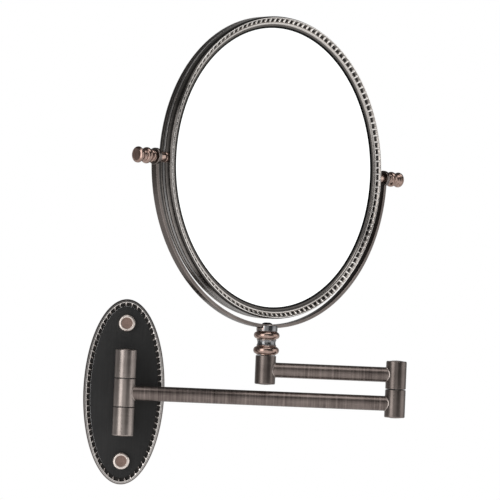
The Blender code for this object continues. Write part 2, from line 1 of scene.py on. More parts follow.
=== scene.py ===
"""Looks of the extendable shaving mirror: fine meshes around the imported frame, their materials, and a studio.

The object's frame is in metres, with the wall at y = 0 and the front at -Y. Sizes below are in millimetres.
"""

import json
import math

import bpy
import numpy as np
from mathutils import Matrix, Vector


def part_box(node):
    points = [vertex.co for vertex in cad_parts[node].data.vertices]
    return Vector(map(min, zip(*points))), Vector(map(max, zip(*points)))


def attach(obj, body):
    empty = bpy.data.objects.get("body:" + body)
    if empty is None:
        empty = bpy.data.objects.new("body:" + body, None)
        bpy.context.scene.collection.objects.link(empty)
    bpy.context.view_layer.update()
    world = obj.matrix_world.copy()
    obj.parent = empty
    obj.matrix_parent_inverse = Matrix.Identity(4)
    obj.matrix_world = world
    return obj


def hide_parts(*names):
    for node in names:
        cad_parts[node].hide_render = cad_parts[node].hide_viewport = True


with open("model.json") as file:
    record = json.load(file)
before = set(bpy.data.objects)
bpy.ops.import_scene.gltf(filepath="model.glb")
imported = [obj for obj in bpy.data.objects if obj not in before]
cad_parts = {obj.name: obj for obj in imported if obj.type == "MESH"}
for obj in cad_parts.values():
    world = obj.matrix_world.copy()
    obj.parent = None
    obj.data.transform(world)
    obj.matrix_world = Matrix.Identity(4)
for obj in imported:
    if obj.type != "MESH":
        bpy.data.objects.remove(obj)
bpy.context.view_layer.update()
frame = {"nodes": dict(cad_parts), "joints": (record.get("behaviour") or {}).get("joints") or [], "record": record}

MM = 0.001
JOINTS = {joint["name"]: joint for joint in frame["joints"]}

# Sizes that the CAD model shares
GAP = 0.3  # between pieces that touch
TUBE_R = 5.0
SPIGOT_SINK = 0.5  # how far a tube's coped end is drawn into its barrel's braze
WALL_BARREL_R = 7.2
ELBOW_BARREL_R = 6.9
BARREL_BORE = 3.2
BARREL_RECESS = 4.9  # radius of the plug's seat in an open end
POST_Z = 19.3  # height of the wall hinge's posts, above and below the arm
POST_R = 4.0
POST_FLANGE_R = 6.0
HEAD_R = 101.7
DRUM_R = 100.5
DRUM_IN_R = 97.4
GLASS_R = 97.1
GLASS_T = 1.6
FRONT_SEAT = 2.8
FRONT_SKIRT = 1.0
REAR_SEAT = 4.3
REAR_SKIRT = 2.4
REAR_SAG = 2.2
YOKE_R = 105.6  # inner face below the mirror
YOKE_SIDE = 108.8  # inner face at the pivots
YOKE_T = 2.4
YOKE_W = 5.0
YOKE_TAB_R = 5.5
KNOB_START = YOKE_SIDE + YOKE_T + 0.4  # clear of the yoke's tab
KNOB_L = 15.2
PLATE_A = 27.6
PLATE_B = 63.0
PLATE_FIELD = 6.5
FIELD_INSET = 4.8
STUD_Z = 46.7

# Fine detail
RING_BEADS = 138
BEAD_STEPS = 10  # points along each bead
BEAD_DEPTH = 1.3
RING_WEB = 0.3  # a web's share of each bead
RIM_BEADS = 67
SCOOP_EDGE = 0.22  # how much of a bead the climb from its hollow takes
TURNED_SIDES = 96
HEAD_SIDES = 360
SHARP = 32.0  # edges over this angle stay sharp
BEADED_SHARP = 50.0

# Finish and painted light: the parts of the patina scale where rubbed metal ends and where blackening starts. The
# light end also carries a painted highlight, and the dark end painted shade.
LIGHTENED_TO_PLAIN = (0.16, 0.42)
PLAIN_TO_BLACK = (0.55, 0.82)
WORN_EDGE = (0.52, 0.60)  # pointiness of a rubbed edge
NOISE_ROUGHNESS = 0.55
EVEN_GRAIN = (900.0, 900.0, 900.0)

# Studio and camera, in metres and degrees
ROOM_SLOPE = (0.0, 0.35, -0.75)  # the room's reflection brightens down and back
ROOM_SPAN = (-0.30, 0.70)
ROOM_DARK = 0.09
ROOM_LIGHT = 0.70
FLOOR_HALF = 3.0
FLOOR_Z = -0.6
FLOOR_GLOW = 0.45
LIGHT_TARGET = (0.09, 0.0, 0.09)
CAMERA_FOCAL = 216.0
CAMERA_PLACE = (-34.2, -2044.4, 43.1)  # millimetres
CAMERA_YAW = 3.25
CAMERA_PITCH = 1.594
CAMERA_ROLL = 2.4  # stands in for the sag of the photographed arms


def millimetres(point):
    return Vector(point) / MM


WALL_AXIS = millimetres(JOINTS["wall_swing"]["pos_m"])
ELBOW_AXIS = millimetres(JOINTS["elbow_swing"]["pos_m"])
STEM_AXIS = millimetres(JOINTS["stem_swivel"]["pos_m"])
PIVOT = millimetres(JOINTS["mirror_tilt"]["pos_m"])
TILT_AXIS = Vector(JOINTS["mirror_tilt"]["axis"]).normalized()
UP = Vector((0, 0, 1))
MIRROR_NORMAL = TILT_AXIS.cross(UP).normalized()  # out of the front glass


def frame_at(origin, z_axis, x_axis):
    """A placing matrix whose Z and X run along the given directions, with its origin in millimetres."""
    z = Vector(z_axis).normalized()
    x = Vector(x_axis)
    x = (x - x.dot(z) * z).normalized()
    y = z.cross(x)
    matrix = Matrix((x, y, z)).transposed().to_4x4()
    matrix.translation = Vector(origin) * MM
    return matrix


def span(node):
    """Lowest and highest corner of a CAD node, in millimetres."""
    low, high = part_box(node)
    return Vector(low) / MM, Vector(high) / MM


# ---------------------------------------------------------------- meshes

def soften(points, steps=5):
    """An outline whose corners that carry a third number are rounded off by about that radius."""
    soft = []
    for i, point in enumerate(points):
        here = Vector(point[:2])
        if len(point) == 2:
            soft.append(tuple(here))
            continue
        ends = []
        for other in (points[i - 1], points[(i + 1) % len(points)]):
            way = Vector(other[:2]) - here
            ends.append(here + way.normalized() * min(point[2], way.length * 0.49))
        for k in range(steps + 1):
            t = k / steps
            soft.append(tuple((1 - t) ** 2 * ends[0] + 2 * t * (1 - t) * here + t ** 2 * ends[1]))
    return soft


def dome(centre, half_height, reach, opening, steps=14):
    """Outline points of a bead: an ellipse arc about (radius, height), this angle to each side."""
    points = []
    for k in range(steps + 1):
        angle = math.radians(opening * (1 - 2 * k / steps))
        points.append((centre[0] + reach * math.cos(angle), centre[1] + half_height * math.sin(angle)))
    return points


def mesh_object(name, verts, faces, material, matrix, sharp=SHARP, patina_and_painted_light=None):
    """A smooth-shaded object from points in millimetres in its own frame.

    Patina is a number for each point: 0 is rubbed bright, 0.5 is plain and 1 is a blackened hollow. Some pieces
    use the same scale for a painted highlight and for painted shade.
    """
    mesh = bpy.data.meshes.new(name)
    mesh.from_pydata([tuple(c * MM for c in v) for v in verts], [], faces)
    if patina_and_painted_light is not None:
        attribute = mesh.attributes.new("patina_and_painted_light", "FLOAT", "POINT")
        attribute.data.foreach_set("value", np.asarray(patina_and_painted_light, np.float32))
    mesh.validate()
    mesh.shade_smooth()
    mesh.set_sharp_from_angle(angle=math.radians(sharp))
    mesh.materials.append(material)
    obj = bpy.data.objects.new(name, mesh)
    bpy.context.scene.collection.objects.link(obj)
    obj.matrix_world = matrix
    return obj


def skin(rows, closed=False, flip=False):
    """Quads from each row of point numbers to the next. Every row is a loop."""
    faces = []
    for a, b in zip(rows, rows[1:] + rows[:1] if closed else rows[1:]):
        for i in range(len(a)):
            j = (i + 1) % len(a)
            face = [a[i], a[j], b[j], b[i]]
            faces.append(face[::-1] if flip else face)
    return faces


def revolve(outline, sides, closed=False, warp=None):
    """Vertices and faces of an outline of (radius, height) turned about Z. A warp may move each point."""
    verts = []
    rows = []
    for row_index, (radius, height) in enumerate(outline):
        if radius < 1e-6:
            rows.append([len(verts)])
            verts.append((0.0, 0.0, height))
            continue
        row = []
        for i in range(sides):
            turn = i / sides
            r, h = warp(row_index, turn, radius, height) if warp else (radius, height)
            row.append(len(verts))
            verts.append((r * math.cos(2 * math.pi * turn), r * math.sin(2 * math.pi * turn), h))
        rows.append(row)
    faces = []
    pairs = list(zip(rows, rows[1:]))
    if closed:
        pairs.append((rows[-1], rows[0]))
    for upper, lower in pairs:
        m, n = len(upper), len(lower)
        for i in range(sides):
            j = (i + 1) % sides
            face = [upper[i % m], lower[i % n], lower[j % n], upper[j % m]]
            faces.append(list(dict.fromkeys(face)))
    return verts, faces


def turned(name, outline, material, matrix, sides=TURNED_SIDES, closed=False, finish_and_painted_light=None):
    """A turned piece. Finish gives the patina at a radius and height, and on the cap nuts a painted highlight."""
    verts, faces = revolve(outline, sides, closed)
    patina_and_painted_light = [finish_and_painted_light(math.hypot(x, y), z) for x, y, z in verts] if finish_and_painted_light else None
    return mesh_object(name, verts, faces, material, matrix, patina_and_painted_light=patina_and_painted_light)


def joined(first, *others):
    """Other objects' meshes become part of the first one's, in its frame."""
    verts = [tuple(v.co / MM) for v in first.data.vertices]
    faces = [list(p.vertices) for p in first.data.polygons]
    to_first = first.matrix_world.inverted()
    material = first.data.materials[0]
    for other in others:
        start = len(verts)
        move = to_first @ other.matrix_world
        verts += [tuple((move @ v.co) / MM) for v in other.data.vertices]
        faces += [[i + start for i in p.vertices] for p in other.data.polygons]
        bpy.data.objects.remove(other)
    name = first.name
    matrix = first.matrix_world.copy()
    bpy.data.objects.remove(first)
    return mesh_object(name, verts, faces, material, matrix)


def stands_for(piece, body, slot, *nodes):
    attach(piece, body)
    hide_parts(*nodes)
    return piece


# ---------------------------------------------------------------- materials

RANGE_SOCKETS = ("From Min", "From Max", "To Min", "To Max")


class Shade:
    """A small helper that builds a Principled material from named steps."""

    def __init__(self, name):
        self.material = bpy.data.materials.new(name)
        self.material.use_nodes = True
        self.tree = self.material.node_tree
        self.shader = self.tree.nodes["Principled BSDF"]
        self.place = self.node("ShaderNodeTexCoord").outputs["Object"]

    def node(self, kind, **settings):
        made = self.tree.nodes.new(kind)
        for key, value in settings.items():
            setattr(made, key, value)
        return made

    def link(self, source, target):
        self.tree.links.new(source, target)

    def scaled(self, scale):
        """Object coordinates scaled a different amount along each axis."""
        mapping = self.node("ShaderNodeMapping")
        mapping.inputs["Scale"].default_value = scale
        self.link(self.place, mapping.inputs["Vector"])
        return mapping.outputs["Vector"]

    def noise(self, scale, detail=3.0, vector=None):
        texture = self.node("ShaderNodeTexNoise")
        texture.inputs["Scale"].default_value = scale
        texture.inputs["Detail"].default_value = detail
        texture.inputs["Roughness"].default_value = NOISE_ROUGHNESS
        self.link(vector or self.place, texture.inputs["Vector"])
        return texture.outputs["Fac"]

    def ramp(self, source, stops):
        """Colours at positions along the source value."""
        made = self.node("ShaderNodeValToRGB")
        elements = made.color_ramp.elements
        while len(elements) < len(stops):
            elements.new(0.5)
        for element, (position, colour) in zip(elements, stops):
            element.position = position
            element.color = (*colour, 1.0)
        self.link(source, made.inputs["Fac"])
        return made.outputs["Color"]

    def carried(self, source, before, after):
        """A value carried from one range to another and held at that range's ends."""
        made = self.node("ShaderNodeMapRange")
        for socket, value in zip(RANGE_SOCKETS, (*before, *after)):
            made.inputs[socket].default_value = value
        self.link(source, made.inputs["Value"])
        return made.outputs["Result"]

    def spread(self, source, low, high):
        """A noise's middle range, carried over to low..high."""
        return self.carried(source, (0.3, 0.7), (low, high))

    def steps(self, source, low, high):
        """0 below low and 1 above high, with a straight climb between them."""
        return self.carried(source, (low, high), (0.0, 1.0))

    def mix(self, fac, a, b):
        made = self.node("ShaderNodeMix", data_type="RGBA")
        for socket, value in ((made.inputs["Factor"], fac), (made.inputs["A"], a), (made.inputs["B"], b)):
            if isinstance(value, (int, float)):
                socket.default_value = value
            elif isinstance(value, tuple):
                socket.default_value = (*value, 1.0)
            else:
                self.link(value, socket)
        return made.outputs["Result"]

    def edges(self):
        """A value that is 0 in hollows and flats and 1 on worn outer edges."""
        return self.steps(self.node("ShaderNodeNewGeometry").outputs["Pointiness"], *WORN_EDGE)

    def bump(self, source, distance):
        made = self.node("ShaderNodeBump")
        made.inputs["Distance"].default_value = distance
        made.inputs["Strength"].default_value = 1.0
        self.link(source, made.inputs["Height"])
        return made.outputs["Normal"]

    def put(self, socket, value):
        target = self.shader.inputs[socket]
        if isinstance(value, (int, float)):
            target.default_value = value
        elif isinstance(value, tuple):
            target.default_value = (*value, 1.0)
        else:
            self.link(value, target)


def bronze(name, dark, light, worn, roughness, brush=EVEN_GRAIN, brush_depth=0.00002, vary=0.07,
           streaks=(0.0, 0.45)):
    """Lacquered bronze: a mottled colour, rubbed bright on its edges, with fine lines across one axis."""
    shade = Shade(name)
    blotch = shade.noise(70.0, 4.0)
    colour = shade.ramp(blotch, [(0.30, dark), (0.72, light)])
    fine = shade.noise(1.0, 2.0, vector=shade.scaled(brush))
    colour = shade.mix(shade.spread(fine, *streaks), colour, shade.ramp(fine, [(0.35, dark), (0.8, light)]))
    colour = shade.mix(shade.edges(), colour, worn)
    shade.put("Base Color", colour)
    shade.put("Metallic", 1.0)
    shade.put("Roughness", shade.spread(fine, roughness - vary, roughness + vary))
    shade.put("Normal", shade.bump(fine, brush_depth))
    return shade.material


def patinated_with_painted_light(name, lightened, plain, black, roughness):
    """Cast bronze that was blackened and then rubbed back: bright crests and webs, dark hollows. The same scale
    also paints light and shade: a painted highlight on the cap nuts' chamfers, and painted shade in the rings'
    groove and on their outer walls.
    """
    shade = Shade(name)
    finish_and_painted_light = shade.node("ShaderNodeAttribute", attribute_name="patina_and_painted_light").outputs["Fac"]
    blotch = shade.noise(260.0, 4.0)
    base = shade.ramp(blotch, [(0.3, plain), (0.75, tuple(1.5 * c for c in plain))])
    colour = shade.mix(shade.steps(finish_and_painted_light, *LIGHTENED_TO_PLAIN), lightened, base)
    colour = shade.mix(shade.steps(finish_and_painted_light, *PLAIN_TO_BLACK), colour, black)
    shade.put("Base Color", colour)
    shade.put("Metallic", 1.0)
    fine = shade.noise(900.0, 3.0)
    shade.put("Roughness", shade.spread(fine, roughness - 0.05, roughness + 0.07))
    shade.put("Normal", shade.bump(fine, 0.00001))
    return shade.material


def turned_bronze():
    """Polished turned bronze: copper where it was buffed, and a cooler grey where the patina stayed on."""
    shade = Shade("turned_copper_bronze")
    finish_and_painted_light = shade.node("ShaderNodeAttribute", attribute_name="patina_and_painted_light").outputs["Fac"]
    blotch = shade.noise(240.0, 4.0)
    copper = shade.ramp(blotch, [(0.3, (0.26, 0.178, 0.149)), (0.72, (0.48, 0.35, 0.30))])
    grey = shade.ramp(blotch, [(0.3, (0.15, 0.15, 0.155)), (0.72, (0.30, 0.30, 0.305))])
    colour = shade.mix(finish_and_painted_light, copper, grey)
    colour = shade.mix(shade.edges(), colour, (0.72, 0.60, 0.53))
    lines = shade.noise(1.0, 2.0, vector=shade.scaled((60.0, 60.0, 1500.0)))
    shade.put("Base Color", colour)
    shade.put("Metallic", 1.0)
    shade.put("Roughness", shade.spread(lines, 0.17, 0.22))
    shade.put("Normal", shade.bump(lines, 0.000003))
    return shade.material


def make_materials():
    made = {}
    dark = (0.088, 0.070, 0.064)
    light = (0.37, 0.307, 0.28)
    worn = (0.60, 0.52, 0.48)
    made["arm"] = bronze("arm_brushed_bronze", dark, light, worn, 0.34, (20.0, 20.0, 620.0), 0.00003,
                         streaks=(0.40, 0.95))
    made["barrel"] = bronze("barrel_satin_bronze", (0.25, 0.217, 0.20), (0.37, 0.32, 0.296), worn, 0.33,
                            (40.0, 40.0, 500.0), 0.000002, vary=0.02)
    made["socket"] = bronze("socket_satin_bronze", (0.125, 0.104, 0.095), (0.205, 0.173, 0.158), worn, 0.33,
                            (40.0, 40.0, 500.0), 0.000002, vary=0.02)
    made["turned"] = turned_bronze()
    # The ring's black is blackened patina in the bead hollows, and painted shade in the groove and on the outer
    # wall.
    made["ring"] = patinated_with_painted_light("ring_rubbed_bronze", (0.95, 0.91, 0.87), (0.29, 0.264, 0.245),
                             (0.006, 0.006, 0.006), 0.24)
    made["drum"] = bronze("drum_satin_grey", (0.30, 0.29, 0.283), (0.41, 0.40, 0.393), worn, 0.32,
                          (70.0, 70.0, 1600.0), 0.000006)
    made["yoke"] = bronze("yoke_bronze", (0.09, 0.076, 0.07), (0.165, 0.143, 0.133), worn, 0.26,
                          (400.0, 1500.0, 400.0), 0.000006)
    # The cap nut's light colour is a painted highlight on its chamfer.
    made["nut"] = patinated_with_painted_light("cap_nut_copper", (0.88, 0.78, 0.72), (0.26, 0.18, 0.152),
                            (0.02, 0.015, 0.012), 0.30)
    made["steel"] = bronze("zinc_steel", (0.36, 0.36, 0.35), (0.52, 0.52, 0.50), (0.7, 0.7, 0.7), 0.36,
                           (200.0, 200.0, 1200.0), 0.00001)
    made["screw"] = bronze("black_oxide_screw", (0.012, 0.012, 0.012), (0.03, 0.028, 0.027),
                           (0.10, 0.09, 0.085), 0.35)
    made["rim"] = patinated_with_painted_light("plate_rim_bronze", (0.90, 0.85, 0.81), (0.15, 0.128, 0.118),
                            (0.03, 0.028, 0.027), 0.30)
    made["field"] = plate_black()
    made["mirror"] = mirror_glass()
    made["nylon"] = plastic("washer_nylon", (0.012, 0.012, 0.012), (0.03, 0.03, 0.03), 0.55)
    made["foam"] = plastic("backing_foam", (0.62, 0.62, 0.59), (0.78, 0.78, 0.75), 0.9)
    return made


def plate_black():
    """The wall plate's field: black lacquer, brushed upright, with faint dust and fine scratches."""
    shade = Shade("plate_black_lacquer")
    streak = shade.noise(1.0, 3.0, vector=shade.scaled((1600.0, 1600.0, 50.0)))
    cloud = shade.noise(45.0, 4.0)
    colour = shade.ramp(cloud, [(0.3, (0.006, 0.006, 0.006)), (0.75, (0.015, 0.0145, 0.0145))])
    colour = shade.mix(shade.spread(streak, 0.0, 0.30), colour, (0.035, 0.033, 0.032))
    shade.put("Base Color", colour)
    shade.put("Metallic", 0.0)
    shade.put("Specular IOR Level", 0.38)
    shade.put("Roughness", shade.spread(streak, 0.36, 0.50))
    shade.put("Normal", shade.bump(streak, 0.00001))
    return shade.material


def mirror_glass():
    """Silvered glass: almost white, with a faint green in the glass and hardly any waviness."""
    shade = Shade("silvered_glass")
    cloud = shade.noise(9.0, 2.0)
    shade.put("Base Color", shade.ramp(cloud, [(0.3, (0.925, 0.945, 0.935)), (0.7, (0.945, 0.955, 0.95))]))
    shade.put("Metallic", 1.0)
    shade.put("Roughness", shade.spread(shade.noise(30.0, 3.0), 0.010, 0.025))
    return shade.material


def plastic(name, dark, light, roughness):
    shade = Shade(name)
    grain = shade.noise(1400.0, 4.0)
    shade.put("Base Color", shade.ramp(grain, [(0.3, dark), (0.7, light)]))
    shade.put("Roughness", shade.spread(grain, roughness - 0.05, roughness + 0.05))
    shade.put("Normal", shade.bump(grain, 0.00003))
    return shade.material


MATERIALS = make_materials()


# ---------------------------------------------------------------- wall plate

def oval_angles(inset, count):
    """Angles round the plate's oval that divide its length evenly."""
    fine = np.linspace(0.0, 2 * math.pi, 7201)
    x = (PLATE_A - inset) * np.cos(fine)
    z = (PLATE_B - inset) * np.sin(fine)
    length = np.concatenate([[0.0], np.cumsum(np.hypot(np.diff(x), np.diff(z)))])
    return np.interp(np.arange(count) * length[-1] / count, length, fine)


def scoop(turn, beads, web):
    """1 in the hollow between two webs and 0 on a web, which takes the given share of each repeat."""
    place = abs((turn * beads) % 1.0 - 0.5) * 2.0
    return float(np.clip((1.0 - web - place) / SCOOP_EDGE + 0.5, 0.0, 1.0))


def plate_rows():
    """The rim's section, from its back edge to the field: (inset, height, share of a web, patina) rows."""
    wall = soften([(0.0, 0.3), (0.0, 2.6, 0.5), (0.7, 3.3, 0.3), (0.85, 4.7, 0.4), (1.25, 5.1, 0.2),
                   (1.6, 7.0, 0.5), (1.95, 7.9, 0.3), (2.35, 7.8)], 3)
    bright = ((0.0, 0.3), (0.95, 1.3), (1.8, 2.4))  # insets of the rubbed lines
    rows = []
    for inset, height in wall:
        lightened = height > 2.0 and any(low <= inset <= high for low, high in bright)
        rows.append((inset, height, 1.0, 0.2 if lightened else 0.68))
    teeth_start, teeth_end, top, fall, steps = 2.4, 4.3, 7.75, 1.1, 8
    for k in range(steps + 1):
        t = k / steps
        inset = teeth_start + t * (teeth_end - teeth_start)
        rows.append((inset, top - fall * t ** 1.5, 0.40 - 0.30 * t, 0.1))
    rows.append((FIELD_INSET - 0.05, PLATE_FIELD - 0.05, 0.0, 1.0))
    return rows


def oval_point(inset, height, angle):
    """A point at a height off the wall, on the plate's oval drawn in by an inset."""
    return (PLATE_A - inset) * math.cos(angle), -height, (PLATE_B - inset) * math.sin(angle)


def plate_rim(angles):
    """The plate's bronze rim, with scooped teeth that point inwards."""
    count = len(angles)
    floor = PLATE_FIELD - 0.05
    under = [(FIELD_INSET - 0.05, 4.1, 0.0, 1.0), (2.1, 2.4, 1.0, 0.8), (1.8, 0.3, 1.0, 0.8)]
    verts = []
    patina_and_painted_light = []
    loops = []
    for inset, height, web, finish_and_painted_light in plate_rows() + under:
        loops.append(range(len(verts), len(verts) + count))
        scooped = web < 1.0 and height > floor
        for i, angle in enumerate(angles):
            hollow = scoop(i / count, RIM_BEADS, web) if scooped else 0.0
            verts.append(oval_point(inset, height - (height - floor) * hollow, angle))
            patina_and_painted_light.append(finish_and_painted_light + (1.0 - finish_and_painted_light) * hollow)
    rim = mesh_object("plate_rim", verts, skin(loops, closed=True), MATERIALS["rim"], Matrix.Identity(4),
                      BEADED_SHARP, patina_and_painted_light)
    stands_for(rim, "wall_mount", "plate_bronze", "wall_plate")


def plate_field(angles):
    """The black field that the rim frames."""
    verts = []
    layers = []
    edge = ((FIELD_INSET, 4.15), (FIELD_INSET, PLATE_FIELD - 0.02), (FIELD_INSET + 0.3, PLATE_FIELD))
    for inset, height in edge:
        layers.append(range(len(verts), len(verts) + len(angles)))
        verts += [oval_point(inset, height, angle) for angle in angles]
    faces = [list(layers[0])[::-1], list(layers[-1])] + skin(layers)
    field = mesh_object("plate_field", verts, faces, MATERIALS["field"], Matrix.Identity(4))
    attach(field, "wall_mount")


def wall_plate():
    angles = oval_angles(3.8, RIM_BEADS * BEAD_STEPS)
    plate_rim(angles)
    plate_field(angles[::2])


def cap_nuts():
    """Round cap nuts with a flat brushed face and a painted highlight on the chamfer."""
    for side, sign in (("upper", 1), ("lower", -1)):
        low, high = span("cap_nut_" + side)
        radius = (high.x - low.x) / 2
        top = high.y - low.y
        face, chamfer, bore = top - 0.12, 0.75, 2.3
        outline = soften([(0, face), (radius - 2.0, face, 0.3), (radius - 1.5, top, 0.3),
                          (radius - chamfer, top, 0.3), (radius, top - chamfer, 0.4), (radius, 0.15, 0.15),
                          (radius - 0.2, 0.0), (bore, 0.0), (bore, 2.0)], 4)
        place = frame_at((0, high.y, sign * STUD_Z), (0, -1, 0), (1, 0, 0))
        # The chamfer ring gets the light colour: a painted highlight.
        nut = turned("cap_nut_fine_" + side, outline, MATERIALS["nut"], place, 64,
                     finish_and_painted_light=lambda r, h, edge=radius - 1.75: 0.12 if r > edge else 0.5)
        stands_for(nut, "wall_mount", "copper_bronze", "cap_nut_" + side)


# ---------------------------------------------------------------- barrels, plugs and arms

def barrel_end(radius, height, inwards, is_open):
    """A barrel's end from its hole out to its wall: an open end's recess, or a meeting end's fine bevel."""
    if is_open:
        return [(BARREL_RECESS, height + 0.5 * inwards), (BARREL_RECESS, height + 0.05 * inwards, 0.1),
                (radius, height, 0.9)]
    return [(BARREL_BORE, height), (radius, height, 0.22)]


def barrel_outline(radius, top, bottom, ends):
    return soften(barrel_end(radius, top, -1, ends[0]) + barrel_end(radius, bottom, 1, ends[1])[::-1], 5)


def barrel(name, node, radius, axis, ends, material="socket"):
    low, high = span(node)
    place = frame_at((axis.x, axis.y, 0), (0, 0, 1), (1, 0, 0))
    outline = barrel_outline(radius, high.z, low.z, ends)
    return turned(name, outline, MATERIALS[material], place)


def plug(node, axis, body, upwards):
    """The domed plug in a barrel's end."""
    low, high = span(node)
    radius = (high.x - low.x) / 2 + 0.12
    outline = soften([(0, 0.5), (radius * 0.55, 0.36), (radius, 0.02, 0.25), (radius, -1.0)], 4)
    direction = (0, 0, 1) if upwards else (0, 0, -1)
    end = high.z - 0.5 if upwards else low.z + 0.5
    place = frame_at((axis.x, axis.y, end), direction, (1, 0, 0))
    made = turned(node + "_fine", outline, MATERIALS["barrel"], place, 48)
    stands_for(made, body, "dark_bronze", node)


def wall_hinge():
    for side, z_sign in (("upper", 1), ("lower", -1)):
        node = "hinge_knuckle_" + side
        open_ends = (z_sign > 0, z_sign < 0)
        knuckle = barrel("hinge_barrel_" + side, node, WALL_BARREL_R, WALL_AXIS, open_ends, "barrel")
        reach = -WALL_AXIS.y - PLATE_FIELD - GAP
        post = soften([(0, reach), (POST_FLANGE_R, reach, 0.2), (POST_FLANGE_R, reach - 1.3, 0.5),
                       (POST_R + 0.6, reach - 1.7, 0.6), (POST_R, reach - 3.2, 0.8),
                       (POST_R, WALL_BARREL_R - 1.3)], 4)
        place = frame_at((0, WALL_AXIS.y, z_sign * POST_Z), (0, 1, 0), (1, 0, 0))
        stem = turned("hinge_post_" + side, post, MATERIALS["barrel"], place, 64)
        whole = joined(knuckle, stem)
        stands_for(whole, "wall_mount", "dark_bronze", node)
        plug("hinge_plug_" + side, WALL_AXIS, "wall_mount", z_sign > 0)


def coped_tube(name, node, body, start, end, radius_a, radius_b, height):
    """An arm's tube whose two ends follow the barrels that it meets, with a braze bead at each."""
    way = Vector((end.x - start.x, end.y - start.y, 0))
    length = way.length
    place = frame_at((start.x, start.y, height), way, (0, 0, 1))
    sides = TURNED_SIDES
    verts = []
    rows = []
    for t in (0.0, 0.004, 0.5, 0.996, 1.0):
        rows.append(range(len(verts), len(verts) + sides))
        for i in range(sides):
            angle = 2 * math.pi * i / sides
            up, across = TUBE_R * math.cos(angle), TUBE_R * math.sin(angle)
            first = math.sqrt(radius_a ** 2 - across ** 2) - SPIGOT_SINK
            last = length - math.sqrt(radius_b ** 2 - across ** 2) + SPIGOT_SINK
            verts.append((up, across, first + t * (last - first)))
    tube = mesh_object(name, verts, skin(rows), MATERIALS["arm"], place)
    stands_for(tube, body, "dark_bronze", node)
    for tag, radius, x, sign in (("near", radius_a, 0.0, 1.0), ("far", radius_b, length, -1.0)):
        bead = braze_bead("%s_braze_%s" % (name, tag), radius, x, sign, place)
        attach(bead, body)


def braze_bead(name, radius, x, sign, place, thickness=0.32, sides=72, around=8):
    """A thin bead of braze that follows the saddle where a tube meets a barrel."""
    verts = []
    rows = []
    for i in range(sides):
        angle = 2 * math.pi * i / sides
        rows.append(range(len(verts), len(verts) + around))
        for k in range(around):
            turn = 2 * math.pi * k / around
            out = TUBE_R + thickness * math.cos(turn)
            up, across = out * math.cos(angle), out * math.sin(angle)
            along = math.sqrt(max(radius ** 2 - across ** 2, 0.0)) + thickness * math.sin(turn)
            verts.append((up, across, x + sign * along))
    faces = skin(rows, closed=True, flip=sign > 0)
    return mesh_object(name, verts, faces, MATERIALS["barrel"], place)


def arms():
    knuckle = barrel("arm_barrel", "arm_knuckle", WALL_BARREL_R, WALL_AXIS, (False, False), "barrel")
    stands_for(knuckle, "lower_arm", "dark_bronze", "arm_knuckle")
    coped_tube("lower_arm_fine", "lower_arm_tube", "lower_arm", WALL_AXIS, ELBOW_AXIS,
               WALL_BARREL_R, ELBOW_BARREL_R, 0.0)
    knuckle = barrel("elbow_barrel_lower", "elbow_knuckle_lower", ELBOW_BARREL_R, ELBOW_AXIS, (False, True))
    stands_for(knuckle, "lower_arm", "dark_bronze", "elbow_knuckle_lower")
    plug("elbow_plug_lower", ELBOW_AXIS, "lower_arm", False)
    low, high = span("upper_arm_tube")
    height = (low.z + high.z) / 2
    knuckle = barrel("elbow_barrel_upper", "elbow_knuckle_upper", ELBOW_BARREL_R, ELBOW_AXIS, (True, False))
    stands_for(knuckle, "upper_arm", "dark_bronze", "elbow_knuckle_upper")
    plug("elbow_plug_upper", ELBOW_AXIS, "upper_arm", True)
    coped_tube("upper_arm_fine", "upper_arm_tube", "upper_arm", ELBOW_AXIS, STEM_AXIS,
               ELBOW_BARREL_R, ELBOW_BARREL_R, height)
    knuckle = barrel("stem_barrel", "stem_socket", ELBOW_BARREL_R, STEM_AXIS, (False, True))
    stands_for(knuckle, "upper_arm", "dark_bronze", "stem_socket")
    plug("socket_plug", STEM_AXIS, "upper_arm", False)


# ---------------------------------------------------------------- stem and yoke

def stem_outline(top, foot, low_bead, high_bead, bottom):
    """The slotted head, the two beads with a neck between them, and the spindle."""
    head, neck, collar, spindle = 7.1, 6.05, 6.3, 3.5
    outline = [(0.0, top)]
    outline += soften([(head - 0.3, top, 0.0), (head, top - 0.3, 0.2), (head, top - 4.0, 0.3),
                       (head - 0.6, top - 4.45, 0.2)], 4)
    outline += dome((collar, high_bead), 2.45, 2.4, 80)
    outline += soften([(collar + 0.05, high_bead - 2.75, 0.15), (collar + 0.45, high_bead - 3.1, 0.2),
                       (collar, high_bead - 3.6, 0.4), (neck, (high_bead + low_bead) / 2, 1.2),
                       (collar + 0.05, low_bead + 3.7, 0.4), (collar + 0.5, low_bead + 3.3, 0.2),
                       (collar + 0.1, low_bead + 2.95, 0.15)], 4)
    outline += dome((collar, low_bead), 2.6, 2.4, 80)
    outline += soften([(collar + 0.2, foot + 0.35, 0.1), (collar + 0.3, foot, 0.1), (spindle, foot),
                       (spindle, bottom), (0.0, bottom)], 3)
    return outline


def box_object(name, low, high, material, matrix):
    corners = [(x, y, z) for z in (low[2], high[2]) for y in (low[1], high[1]) for x in (low[0], high[0])]
    quads = [[0, 2, 3, 1], [4, 5, 7, 6], [0, 1, 5, 4], [2, 6, 7, 3], [0, 4, 6, 2], [1, 3, 7, 5]]
    return mesh_object(name, corners, quads, material, matrix)


